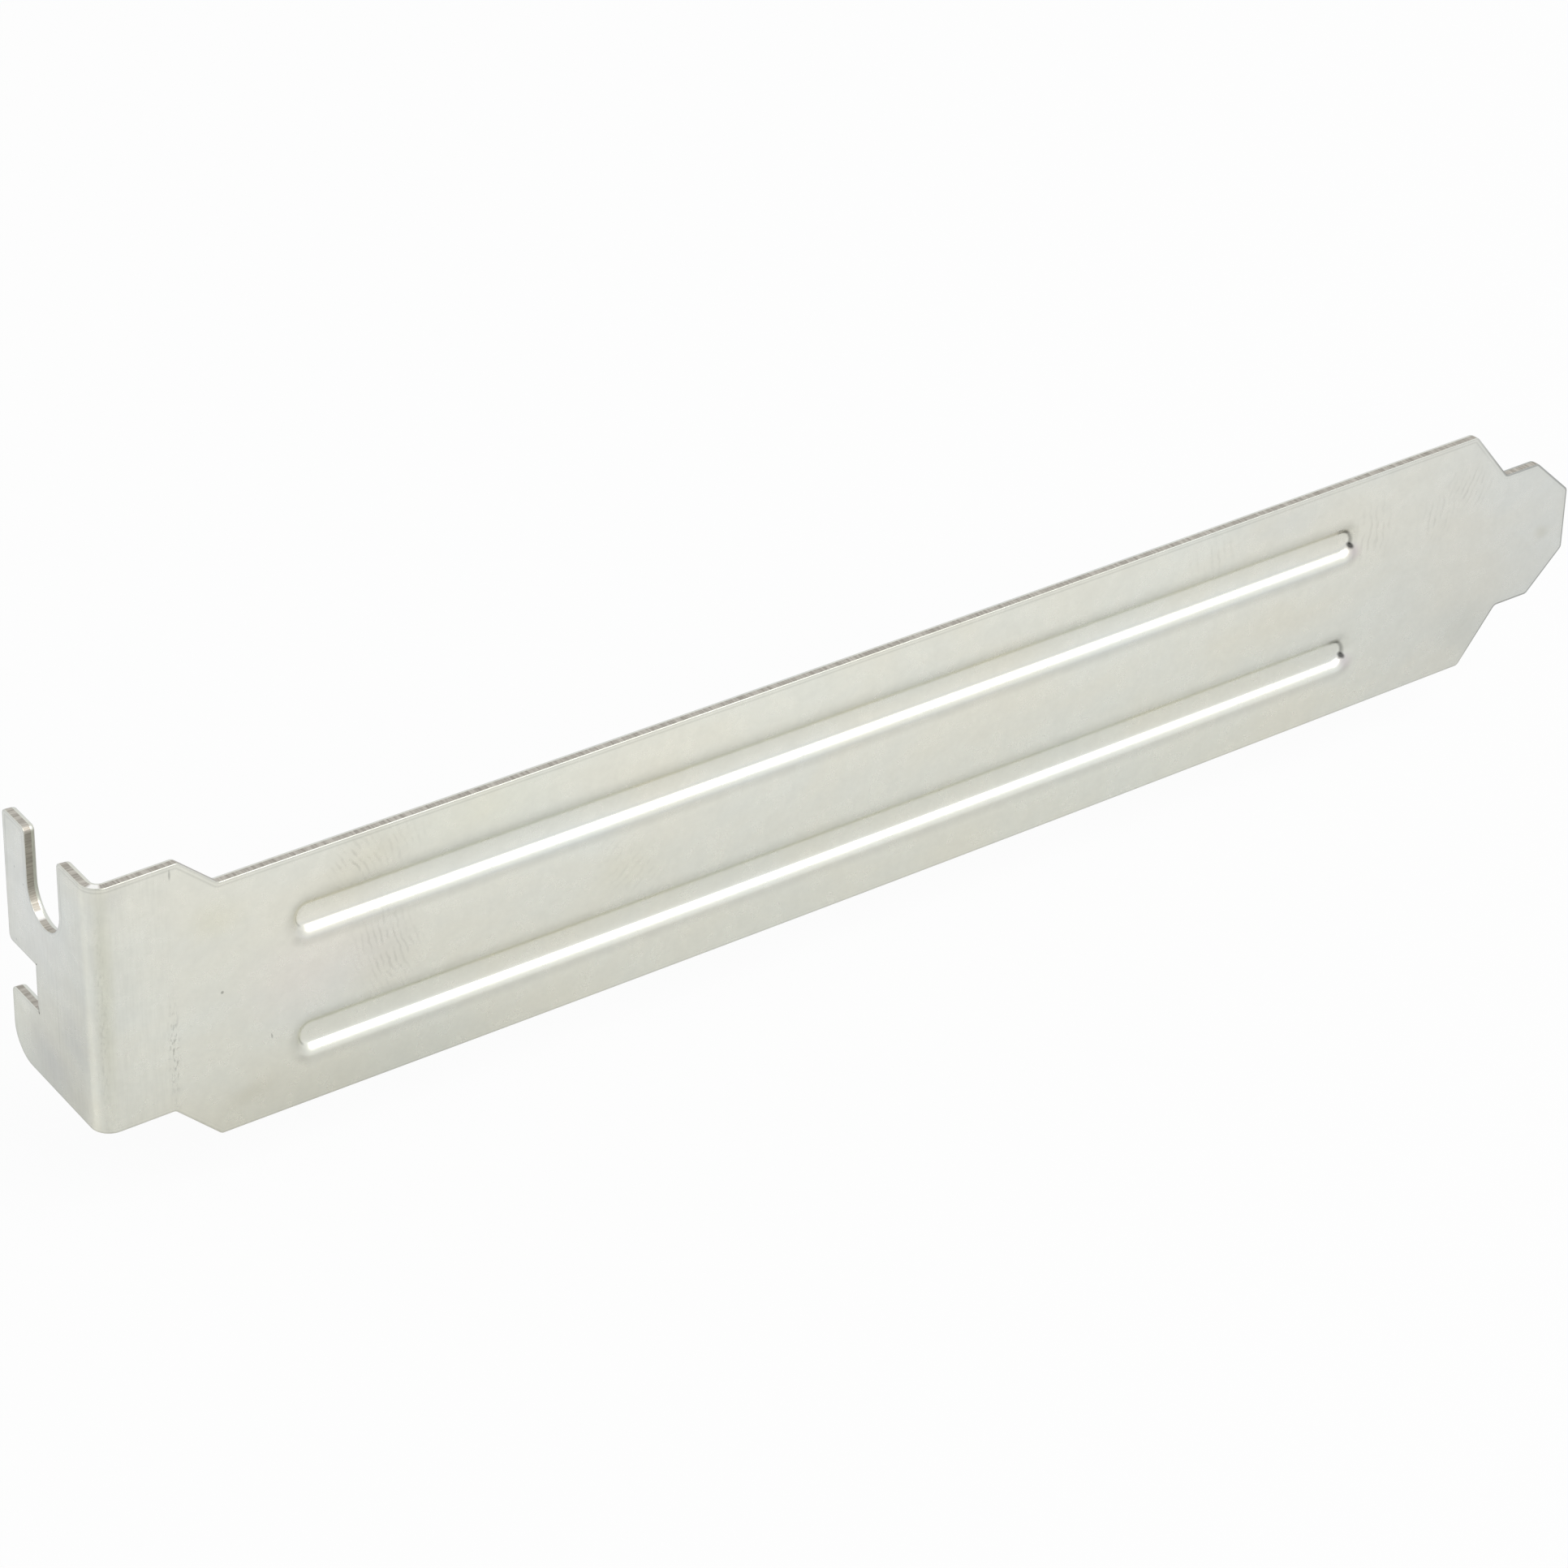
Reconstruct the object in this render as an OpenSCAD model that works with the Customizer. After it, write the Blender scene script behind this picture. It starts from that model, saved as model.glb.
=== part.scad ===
// Slot cover for the rear wall of a tower computer: one sheet blank with two
// ribs pressed into it and one square fold that makes the screw flange.
// Lengths are measured from the outer face of the flange along X, from the face
// that looks into the case along Y, and from the lower long edge up along Z. The
// finished part is then moved so that its origin is the middle of the screw
// slot's round end, on the face of the flange that seats on the case. In
// millimetres.

/* [Sheet] */
// thickness of the sheet
sheet = 0.8; // [0.6:0.05:1.0]
// inner radius of the fold
fold_radius = 0.5; // [0.3:0.05:0.8]
// radius of the small outline corners
corner_radius = 0.45; // [0.2:0.05:0.6]

/* [Cover plate] */
// overall length, flange face to tab tip
cover_length = 120.02; // [112:0.02:128]
// width of the long body
body_width = 18.42; // [18:0.02:19.2]
// rise of the neck above the body, lower edge
step_low = 2.95; // [2.2:0.05:3.4]
// rise of the neck above the body, upper edge
step_high = 2.38; // [1.8:0.02:3.2]
// straight neck from the flange face, lower edge
neck_low = 5.2; // [3.6:0.1:6.4]
// straight neck from the flange face, upper edge
neck_high = 6.05; // [3.8:0.05:7]
// run of the slanted step, lower edge
step_run_low = 3.2; // [2.4:0.1:3.8]
// run of the slanted step, upper edge
step_run_high = 2.75; // [2.2:0.05:3.6]

/* [Tab] */
// width of the tab
tab_width = 10.55; // [9.6:0.05:11.4]
// width of the tab across its tip
tip_width = 4.75; // [3.6:0.05:6]
// length of the tab
tab_length = 6.05; // [5:0.05:7]
// run of the slanted tip corners
tip_run = 3.07; // [2.4:0.01:3.6]
// run of the slanted body end
body_end_run = 3.15; // [2.4:0.05:4]

/* [Ribs] */
// centre of the half-round rib ends nearest the flange
rib_start = 15.25; // [13.5:0.05:18]
// straight length of each rib between the centres of its ends
rib_run = 83.7; // [66:0.1:88]
// distance between the two ribs
rib_spacing = 8.81; // [7.6:0.01:10]
// width of the flat rib floor
rib_floor = 1.15; // [0.8:0.05:1.6]
// depth of the ribs
rib_depth = 0.53; // [0.44:0.01:0.65]
// slope of the rib walls, degrees
rib_slope = 45; // [38:1:50]
// radius of the punch nose at the rib floor
rib_nose = 0.25; // [0.15:0.05:0.35]
// radius of the rib lip on the flange side
rib_lip = 0.3; // [0.2:0.05:0.35]

/* [Flange] */
// depth of the flange from the case side of the cover
flange_depth = 11.43; // [10.6:0.01:12.4]
// width of the open screw slot
slot_width = 4.3; // [3.6:0.1:4.8]
// depth of the screw slot from the upper edge
slot_depth = 6.05; // [4.8:0.05:7]
// distance of the slot centre from the case side of the cover
slot_offset = 6.35; // [5.8:0.05:6.8]
// height of the notch in the free edge
notch_height = 3.45; // [2.6:0.05:4]
// depth of the notch
notch_depth = 3.53; // [2.6:0.01:4.2]
// height of the notch above the lower edge of the flange
notch_rise = 4.85; // [4.2:0.05:5.2]
// radius of the lower free corner
lobe_radius = 2.2; // [1.2:0.1:3]

/* [Hidden] */
$fn = 64;
steel = [0.82, 0.81, 0.78];
// a rounding arc overshoots its edges by this much, so that it crosses them cleanly
overshoot = 0.001;
// and the piece that it rounds off reaches past the edges by this share of its radius
margin = 0.2;
// shapes that trim or cut the sheet reach past its faces by this length
beyond = 1;
fold_outer = fold_radius + sheet;
neck_top = body_width + step_high;
middle = body_width / 2;
body_end = cover_length - tab_length - body_end_run;

// folded sheet seen along Z, [x, y]
fold_points = [
    [0, 0], [cover_length, 0], [cover_length, sheet],
    [sheet, sheet], [sheet, flange_depth], [0, flange_depth]
];

// outline of the cover seen from the case side, [x, z]
cover_points = [
    [-beyond, step_low],
    [neck_low, step_low],
    [neck_low + step_run_low, 0],
    [body_end, 0],
    [body_end + body_end_run, middle - tab_width / 2],
    [cover_length - tip_run, middle - tab_width / 2],
    [cover_length, middle - tip_width / 2],
    [cover_length, middle + tip_width / 2],
    [cover_length - tip_run, middle + tab_width / 2],
    [body_end + body_end_run, middle + tab_width / 2],
    [body_end, body_width],
    [neck_high + step_run_high, body_width],
    [neck_high, neck_top],
    [-beyond, neck_top]
];

// outline of the flange seen from its outer face, [y, z], with its slot and notch
notch_low = step_low + notch_rise;
notch_high = notch_low + notch_height;
slot_near = slot_offset - slot_width / 2;
slot_far = slot_offset + slot_width / 2;
slot_round = neck_top - slot_depth + slot_width / 2;
flange_points = [
    [fold_outer, step_low],
    [flange_depth, step_low],
    [flange_depth, notch_low],
    [flange_depth - notch_depth, notch_low],
    [flange_depth - notch_depth, notch_high],
    [flange_depth, notch_high],
    [flange_depth, neck_top],
    [slot_far, neck_top],
    [slot_far, slot_round],
    [slot_near, slot_round],
    [slot_near, neck_top],
    [fold_outer, neck_top]
];

// half of the rib section, [distance from the rib's middle, depth]: flat floor,
// sloped wall and lip, with arcs that keep the sheet at one thickness
half_slope = tan(rib_slope / 2);
floor_corner = rib_floor / 2 + rib_nose * half_slope;
lip_corner = floor_corner + rib_depth / tan(rib_slope);
rib_half = lip_corner + (rib_lip + sheet) * half_slope;
rib_points = [
    [0, rib_depth],
    [floor_corner, rib_depth],
    [lip_corner, 0],
    [rib_half, 0],
    [rib_half, sheet],
    [rib_half - rib_lip * half_slope, sheet],
    [floor_corner + sheet * half_slope, rib_depth + sheet],
    [0, rib_depth + sheet]
];

function unit(v) = v / norm(v);

// what lies between point i of an outline and the arc that rounds it, in
// coordinates from that point
module corner_piece(points, i, radius) {
    count = len(points);
    u = unit(points[(i + count - 1) % count] - points[i]);
    v = unit(points[(i + 1) % count] - points[i]);
    half = acos(u * v) / 2;
    centre = unit(u + v) * radius / sin(half);
    kite = [[0, 0], u * radius / tan(half), centre, v * radius / tan(half)];
    translate(points[i]) difference() {
        polygon([for (p = kite) p + margin * (p - centre)]);
        translate(centre) circle(r = radius + overshoot);
    }
}

// an outline whose outer corners lose their point and whose inner corners are filled,
// each list holding [index, radius]
module rounded(points, outer, inner = []) {
    difference() {
        union() {
            polygon(points);
            for (c = inner) corner_piece(points, c[0], c[1]);
        }
        for (c = outer) corner_piece(points, c[0], c[1]);
    }
}

module fold_profile() {
    rounded(fold_points, [[0, fold_outer]], [[3, fold_radius]]);
}

module cover_outline() {
    rounded(cover_points,
        [for (i = [2, 3, 5, 6, 7, 8, 10, 12]) [i, corner_radius]],
        [for (i = [1, 4, 9, 11]) [i, corner_radius]]);
}

module flange_outline() {
    difference() {
        rounded(flange_points, [[1, lobe_radius], for (i = [2, 5, 6, 7, 10]) [i, corner_radius]]);
        translate([slot_offset, slot_round]) circle(d = slot_width);
    }
}

module rib_section() {
    rounded(rib_points,
        [[2, rib_lip + sheet], [6, rib_nose + sheet]],
        [[1, rib_nose], [5, rib_lip]]);
}

// the folded section carried across the width and trimmed to the two outlines
module folded_sheet() {
    intersection() {
        linear_extrude(neck_top) fold_profile();
        union() {
            translate([0, fold_outer, 0]) rotate([90, 0, 0])
                linear_extrude(fold_outer + beyond) cover_outline();
            translate([-beyond, 0, 0]) rotate([90, 0, 90])
                linear_extrude(fold_outer + beyond) flange_outline();
        }
    }
}

// one pressed rib, from the centre of its first half-round end
module rib() {
    rotate([90, 0, 90]) linear_extrude(rib_run)
        for (side = [0, 1]) mirror([0, side]) mirror([1, -1]) rib_section();
    rotate([-90, 0, 0]) rotate(90) rotate_extrude(angle = 180) rib_section();
    translate([rib_run, 0, 0]) rotate([-90, 0, 0]) rotate(-90)
        rotate_extrude(angle = 180) rib_section();
}

// the opening in the flat sheet that a rib fills
module rib_opening() {
    height = sheet + 2 * beyond;
    translate([0, -beyond, 0]) {
        for (x = [0, rib_run]) translate([x, 0, 0])
            rotate([-90, 0, 0]) cylinder(r = rib_half, h = height);
        for (side = [0, 1]) mirror([0, 0, side]) cube([rib_run, height, rib_half]);
    }
}

module at_ribs() {
    for (side = [-1, 1]) translate([rib_start, 0, middle + side * rib_spacing / 2]) children();
}

module slot_cover() {
    color(steel) translate([-sheet, -slot_offset, -slot_round]) {
        difference() {
            folded_sheet();
            at_ribs() rib_opening();
        }
        at_ribs() rib();
    }
}

slot_cover();
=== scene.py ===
import math

import bpy
import numpy as np
from mathutils import Matrix, Vector


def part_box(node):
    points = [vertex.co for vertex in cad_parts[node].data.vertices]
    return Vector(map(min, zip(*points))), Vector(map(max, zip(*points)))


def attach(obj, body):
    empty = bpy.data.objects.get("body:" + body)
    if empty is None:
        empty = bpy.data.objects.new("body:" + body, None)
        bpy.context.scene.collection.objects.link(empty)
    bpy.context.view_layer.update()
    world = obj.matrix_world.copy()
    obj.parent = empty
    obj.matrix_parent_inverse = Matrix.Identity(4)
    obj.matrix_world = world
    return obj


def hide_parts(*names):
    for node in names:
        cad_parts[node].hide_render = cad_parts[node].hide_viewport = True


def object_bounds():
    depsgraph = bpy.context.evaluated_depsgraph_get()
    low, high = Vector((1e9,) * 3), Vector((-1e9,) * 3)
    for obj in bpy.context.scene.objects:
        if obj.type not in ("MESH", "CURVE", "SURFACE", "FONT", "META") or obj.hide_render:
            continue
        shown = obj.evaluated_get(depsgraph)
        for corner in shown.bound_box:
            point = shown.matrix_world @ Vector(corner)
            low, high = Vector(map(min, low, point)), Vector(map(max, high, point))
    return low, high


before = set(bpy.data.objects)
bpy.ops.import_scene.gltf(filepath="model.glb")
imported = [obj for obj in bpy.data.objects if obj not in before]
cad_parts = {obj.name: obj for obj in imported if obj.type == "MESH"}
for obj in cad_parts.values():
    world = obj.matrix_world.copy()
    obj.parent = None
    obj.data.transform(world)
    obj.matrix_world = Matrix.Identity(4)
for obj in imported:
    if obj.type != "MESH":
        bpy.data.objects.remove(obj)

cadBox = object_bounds()
lowCorner, highCorner = (np.array(corner) * 1000 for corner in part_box("slot_cover"))
overall = highCorner - lowCorner  # length, flange depth and neck height in millimetres
millimetre = 0.001  # in metres
planUnit = 0.01  # of the flat plan's UV layer to a millimetre
fromPlan = (100, 100, 0)  # and back to millimetres

# The blank: one sheet, measured in millimetres from the outer face of the flange
# along the length, from the face that looks into the case across the thickness,
# and from the lower long edge up.
blank = {
    "sheet": 0.8,
    "foldRadius": 0.5,
    "cornerRadius": 0.45,
    "stepLow": 2.95,
    "stepHigh": 2.38,
    "neckLow": 5.2,
    "neckHigh": 6.05,
    "stepRunLow": 3.2,
    "stepRunHigh": 2.75,
    "tabWidth": 10.55,
    "tipWidth": 4.75,
    "tabLength": 6.05,
    "tipRun": 3.07,
    "bodyEndRun": 3.15,
    "slotWidth": 4.3,
    "slotDepth": 6.05,
    "slotOffset": 6.35,
    "notchHeight": 3.45,
    "notchDepth": 3.53,
    "notchRise": 4.85,
    "lobeRadius": 2.2,
}

# The two pressed ribs, which stand out on the side away from the case
ribs = {
    "start": 15.25,
    "run": 83.7,
    "spacing": 8.81,
    "floor": 1.27,
    "drop": 0.06,
    "depth": 0.53,
    "slope": 45,
    "nose": 0.25,
    "lip": 0.3,
    "lipEase": 0.2,
    "crown": 0.06,
    "drawIn": 0.03,
    "drawReach": 0.8,
    "pressedFrom": 5,
}

# How the punch left the edge: a fine raised burr towards the case, a torn band
# of bare steel, and a rolled-over corner on the side that the punch came from
shear = {
    "inset": 0.35,
    "burrRise": 0.012,
    "burrReach": 0.19,
    "burrRound": 0.045,
    "tornTo": 0.51,
    "tornLean": 0.02,
    "rollReach": 0.15,
    "rollSteps": 6,
    "faceStart": 0.03,
    "riseStart": 0.1,
}

# What handling did to the flat drawing
form = {
    "foldAngle": 92.6,
    "bow": 0.27,
    "bowSharedOut": 0.5,
    "bowStart": 8.75,
    "bowEnd": 111.0,
    "bowPower": 1.2,
}

# How finely the faces are divided, in millimetres along the sheet and across it.
# Round a rib's end the columns are closest from endOutside to endInside.
grid = {
    "arcSteps": 14,
    "railArcSteps": 200,
    "ribArcSteps": 40,
    "edgeArcSteps": 6,
    "flangeGap": 0.4,
    "foldGap": 0.15,
    "closeGap": 0.12,
    "easedGap": 0.25,
    "coverGap": 0.5,
    "ribGap": 1.9,
    "tipGap": 0.6,
    "endInside": 1,
    "endOutside": 2,
    "easeInside": 4,
    "easeOutside": 3,
    "railEase": 3.5,
    "railBeside": 2.8,
    "railAbove": 2.6,
    "ribRows": [(-1.75, -0.55, 0.1), (-0.55, 0.55, 0.22), (0.55, 1.75, 0.1)],
    # the other rows of each band, as shares of its height below and above the rib
    "bandRows": [((0, 0.1, 0.2, 0.3), (0.91,)), ((0, 0.2, 0.4, 0.6, 0.8), ()),
                 ((0, 0.1), (0.92,)), ((0, 0.25, 0.5, 0.75, 1), ())],
    "closest": 2e-3,
    "hair": 1e-4,
    "digits": 5,
}

foldOuter = blank["foldRadius"] + blank["sheet"]
foldAngle = math.radians(form["foldAngle"])
foldLength = foldOuter * foldAngle
neckTop = overall[2]
bodyWidth = neckTop - blank["stepHigh"]
middle = bodyWidth / 2
tabEnd = overall[0] - foldOuter
tabStart = tabEnd - blank["tabLength"]
bodyEnd = tabStart - blank["bodyEndRun"]
freeEdge = -foldLength - (overall[1] - foldOuter)
slotNear = -foldLength - (blank["slotOffset"] - blank["slotWidth"] / 2 - foldOuter)
slotFar = slotNear - blank["slotWidth"]
slotFloor = neckTop - blank["slotDepth"]
slotRound = slotFloor + blank["slotWidth"] / 2
notchEdge = freeEdge + blank["notchDepth"]
notchLow = blank["stepLow"] + blank["notchRise"]
notchHigh = notchLow + blank["notchHeight"]


def roundedCorners(corners, radii, steps, closed=True):
    # Each corner becomes an arc about the point that lies its radius from both
    # edges, from where it touches the edge before to where it touches the one after.
    corners, radii = np.asarray(corners, float), np.asarray(radii, float)
    before, after = np.roll(corners, 1, 0) - corners, np.roll(corners, -1, 0) - corners
    if not closed:
        corners, radii, before, after = corners[1:-1], radii[1:-1], before[1:-1], after[1:-1]
    before /= np.linalg.norm(before, axis=1, keepdims=True)
    after /= np.linalg.norm(after, axis=1, keepdims=True)
    half = np.arccos(np.clip((before * after).sum(1), -1, 1)) / 2
    inward = (before + after) / np.linalg.norm(before + after, axis=1, keepdims=True)
    centre = corners + inward * (radii / np.sin(half))[:, None]
    touch = corners + before * (radii / np.tan(half))[:, None] - centre
    turn = np.sign(before[:, 1] * after[:, 0] - before[:, 0] * after[:, 1]) * (math.pi - 2 * half)
    angle = turn[:, None] * np.linspace(0, 1, steps)
    c, s = np.cos(angle), np.sin(angle)
    arc = np.stack([c * touch[:, :1] - s * touch[:, 1:], s * touch[:, :1] + c * touch[:, 1:]], -1)
    return centre[:, None] + arc


def insetCorners(corners, radii, reach):
    # Every edge of an anticlockwise outline moves in by the reach: a corner moves
    # along the sum of both inward normals over one plus their product, and an
    # outer arc shrinks while an inner one grows.
    corners, radii = np.asarray(corners, float), np.asarray(radii, float)
    edge = np.roll(corners, -1, 0) - corners
    normal = np.stack([-edge[:, 1], edge[:, 0]], -1) / np.linalg.norm(edge, axis=1, keepdims=True)
    last = np.roll(normal, 1, 0)
    moved = corners + reach * (last + normal) / (1 + (last * normal).sum(1))[:, None]
    turn = np.sign(last[:, 0] * normal[:, 1] - last[:, 1] * normal[:, 0])
    return moved, np.where(radii > 0, radii - turn * reach, 0)


def blankOutline():
    # The cut outline of the flat blank, anticlockwise from the lower free corner
    r = blank["cornerRadius"]
    tabLow, tabHigh = middle - blank["tabWidth"] / 2, middle + blank["tabWidth"] / 2
    tipLow, tipHigh = middle - blank["tipWidth"] / 2, middle + blank["tipWidth"] / 2
    tipStart = tabEnd - blank["tipRun"]
    neckLow, neckHigh = blank["neckLow"] - foldOuter, blank["neckHigh"] - foldOuter
    stepLow = blank["stepLow"]
    half = blank["slotWidth"] / 2
    points = [
        (freeEdge, stepLow, blank["lobeRadius"]), (neckLow, stepLow, r),
        (neckLow + blank["stepRunLow"], 0, r), (bodyEnd, 0, r), (tabStart, tabLow, r),
        (tipStart, tabLow, r), (tabEnd, tipLow, r), (tabEnd, tipHigh, r),
        (tipStart, tabHigh, r), (tabStart, tabHigh, r), (bodyEnd, bodyWidth, r),
        (neckHigh + blank["stepRunHigh"], bodyWidth, r), (neckHigh, neckTop, r),
        (slotNear, neckTop, r), (slotNear, slotFloor, half), (slotFar, slotFloor, half),
        (slotFar, neckTop, r), (freeEdge, neckTop, r), (freeEdge, notchHigh, r),
        (notchEdge, notchHigh, 0), (notchEdge, notchLow, 0), (freeEdge, notchLow, r),
    ]
    points = np.array(points)
    return points[:, :2], points[:, 2]


# Corners of that outline by their place in its list, and its stretches by the first
# corner and the one after the last
cornerAt = {"free": 0, "tip": 6, "slotNear": 14, "slotFar": 15, "notchHigh": 19, "notchLow": 20}
edgeSpans = {"lower": (0, 7), "upperCover": (7, 14), "slotFloor": (14, 16), "upperFlange": (16, 18),
             "notchTop": (18, 20), "notchFloor": (20, 22)}


def along(path, u):
    # height of a left-to-right path at each place along the sheet
    path = path.reshape(-1, 2)
    path = path if path[0, 0] < path[-1, 0] else path[::-1]
    return np.interp(u, path[:, 0], path[:, 1])


def smoothStep(low, high, value):
    t = np.clip((value - low) / (high - low), 0, 1)
    return t * t * (3 - 2 * t)


def spaced(*stretches):
    # places along a line: each stretch is (from, to, about how far apart)
    parts = [np.linspace(a, b, max(2, int(round((b - a) / gap)) + 1)) for a, b, gap in stretches]
    return np.unique(np.round(np.concatenate(parts), grid["digits"]))


def sheetGrid(reach):
    # The face of the blank as one grid: columns run along the sheet, rows are
    # shares of the four bands between five rails, and cells in the screw slot and
    # the notch are left out.
    corners, radii = insetCorners(*blankOutline(), reach)
    arcs = roundedCorners(corners, radii, grid["arcSteps"])
    fineArcs = roundedCorners(corners, radii, grid["railArcSteps"])
    place = {name: corners[index] for name, index in cornerAt.items()}
    free, notchCut, tip = place["free"][0], place["notchHigh"][0], place["tip"][0]
    slotNearCut, slotFarCut = place["slotNear"][0], place["slotFar"][0]
    lowCut, highCut = place["notchLow"][1], place["notchHigh"][1]
    ribStart, ribEnd = ribs["start"] - foldOuter, ribs["start"] + ribs["run"] - foldOuter
    inside, outside = grid["endInside"], grid["endOutside"]
    easeInside, easeOutside = grid["easeInside"], grid["easeOutside"]
    close, eased, wide, flange = grid["closeGap"], grid["easedGap"], grid["coverGap"], grid["flangeGap"]
    stretches = [
        (free, notchCut, flange), (notchCut, slotNearCut, flange), (slotNearCut, -foldLength, flange),
        (-foldLength, 0, grid["foldGap"]), (0, ribStart - easeOutside, wide),
        (ribStart - easeOutside, ribStart - outside, eased), (ribStart - outside, ribStart + inside, close),
        (ribStart + inside, ribStart + easeInside, wide),
        (ribStart + easeInside, ribEnd - easeInside, grid["ribGap"]),
        (ribEnd - easeInside, ribEnd - inside, wide), (ribEnd - inside, ribEnd + outside, close),
        (ribEnd + outside, ribEnd + easeOutside, eased), (ribEnd + easeOutside, tip, grid["tipGap"]),
    ]
    u = np.concatenate([arcs[..., 0].ravel(), spaced(*stretches)])
    u = np.unique(np.round(u, grid["digits"]))
    u = u[np.concatenate([[True], np.diff(u) > grid["closest"]])]
    u = np.union1d(np.round([free, notchCut, slotFarCut, slotNearCut, tip], grid["digits"]), u)

    edge = {name: along(fineArcs[slice(*span)], u) for name, span in edgeSpans.items()}
    low = edge["lower"]
    high = np.where(u < slotFarCut + grid["hair"], edge["upperFlange"], edge["upperCover"])
    ribSpan = ribs["spacing"] / 2
    beside, above = grid["railBeside"], grid["railAbove"]
    bands = np.array([
        middle - ribSpan + beside, middle + ribSpan - beside, middle + ribSpan + above]) / bodyWidth
    coverRails = low + bands[:, None] * (high - low)
    inNotch = u <= notchCut
    flangeRails = np.stack([
        np.where(inNotch, edge["notchFloor"], lowCut),
        np.where(inNotch, edge["notchTop"], highCut),
        np.where((u >= slotFarCut) & (u <= slotNearCut), edge["slotFloor"], slotRound)])
    toCover = smoothStep(0, ribStart - grid["railEase"], u)
    rails = np.vstack([low, flangeRails + toCover * (coverRails - flangeRails), high])

    ribRows = spaced(*grid["ribRows"])
    lowRib = (middle - ribSpan + ribRows) / bodyWidth / bands[0]
    highRib = ((middle + ribSpan + ribRows) / bodyWidth - bands[1]) / (bands[2] - bands[1])
    shares = [np.concatenate([below, pressed, over])
              for (below, over), pressed in zip(grid["bandRows"], (lowRib, (), highRib, ()))]
    share = np.concatenate(shares)
    band = np.repeat(np.arange(4), [len(s) for s in shares])
    z = rails[band] + share[:, None] * (rails[band + 1] - rails[band])
    points = np.stack([np.broadcast_to(u, z.shape), z], -1).reshape(-1, 2)

    halfway = (u[1:] + u[:-1]) / 2
    present = np.stack([
        halfway > free, halfway > notchCut, halfway > free,
        (halfway > slotNearCut) | (halfway < slotFarCut)])
    row, column = np.nonzero(present[band[:-1]])
    first = row * len(u) + column
    quads = np.stack([first, first + 1, first + 1 + len(u), first + len(u)], -1)
    used, quads = np.unique(quads, return_inverse=True)
    return points[used], quads.reshape(-1, 4)


def ribSurface(distance, far):
    # Depth of the pressed rib by the distance from its middle line: a flat floor,
    # a sloped wall and a lip, with the arcs that keep the sheet at one thickness.
    # Both faces use it; far is 0 on the case side and 1 on the other.
    slope = math.tan(math.radians(ribs["slope"] / 2))
    sheet = blank["sheet"]
    foot = ribs["floor"] / 2 + ribs["nose"] * slope
    lip = foot + ribs["depth"] / math.tan(math.radians(ribs["slope"]))
    half = lip + (ribs["lip"] + sheet) * slope
    first, last = (-1, ribs["depth"]), (ribs["spacing"], 0)
    near = roundedCorners(
        [first, (foot, ribs["depth"]), (lip, 0), last],
        [0, ribs["nose"], ribs["lip"] + sheet + ribs["lipEase"], 0], grid["ribArcSteps"], closed=False)
    away = roundedCorners(
        [first, (foot + sheet * slope, ribs["depth"]), (half - ribs["lip"] * slope, 0), last],
        [0, ribs["nose"] + sheet, ribs["lip"], 0], grid["ribArcSteps"], closed=False)
    depth = (1 - far) * along(near, distance) + far * along(away, distance)
    drawn = ribs["drawIn"] * np.exp(-(((distance - half) / ribs["drawReach"]) ** 2))
    crown = ribs["crown"] * np.clip(1 - (distance / foot) ** 2, 0, 1)
    return depth + crown + np.where(distance > half, drawn, ribs["drawIn"])


def ribDistance(x, z):
    # how far a place on the cover is from the middle line of the nearer rib
    beyond = x - np.clip(x, ribs["start"], ribs["start"] + ribs["run"])
    across = np.abs(np.abs(z + ribs["drop"] - middle) - ribs["spacing"] / 2)
    return np.hypot(beyond, across)


def edgeDistance(points):
    # How far each place is from the cut outline: the offset from the nearest of its
    # straight pieces, measured from a foot that stays between the piece's ends.
    start = roundedCorners(*blankOutline(), grid["edgeArcSteps"]).reshape(-1, 2)
    piece = np.roll(start, -1, 0) - start
    offset = points[:, None] - start
    share = (offset * piece).sum(-1) / np.maximum((piece ** 2).sum(-1), 1e-9)
    return np.linalg.norm(offset - np.clip(share, 0, 1)[..., None] * piece, axis=-1).min(1)


def foldSheet(u, w, z):
    # The flat blank wrapped round the fold. A place u along the case face and w
    # into the thickness stays straight on the cover, turns about the fold's
    # centre by u over the outer radius, and runs on straight in the flange. The bow
    # is deepest where s is 0, the middle of its run, and fades to both its ends.
    turn = np.clip(-u / foldOuter, 0, foldAngle)
    radius = foldOuter - w
    past = np.maximum(-u - foldLength, 0)
    x = foldOuter - radius * np.sin(turn) + np.maximum(u, 0) - past * math.cos(foldAngle)
    y = foldOuter - radius * np.cos(turn) + past * math.sin(foldAngle)
    distance = ribDistance(u + foldOuter, z)
    pressed = ribSurface(distance, w / blank["sheet"])
    y = y + np.where(u > ribs["pressedFrom"], pressed, 0)
    s = np.clip((x - form["bowStart"]) / (form["bowEnd"] - form["bowStart"]) * 2 - 1, -1, 1)
    y = y - form["bow"] * ((1 - s * s) ** form["bowPower"] - form["bowSharedOut"])
    return np.stack([x, y, z], -1)


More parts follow.
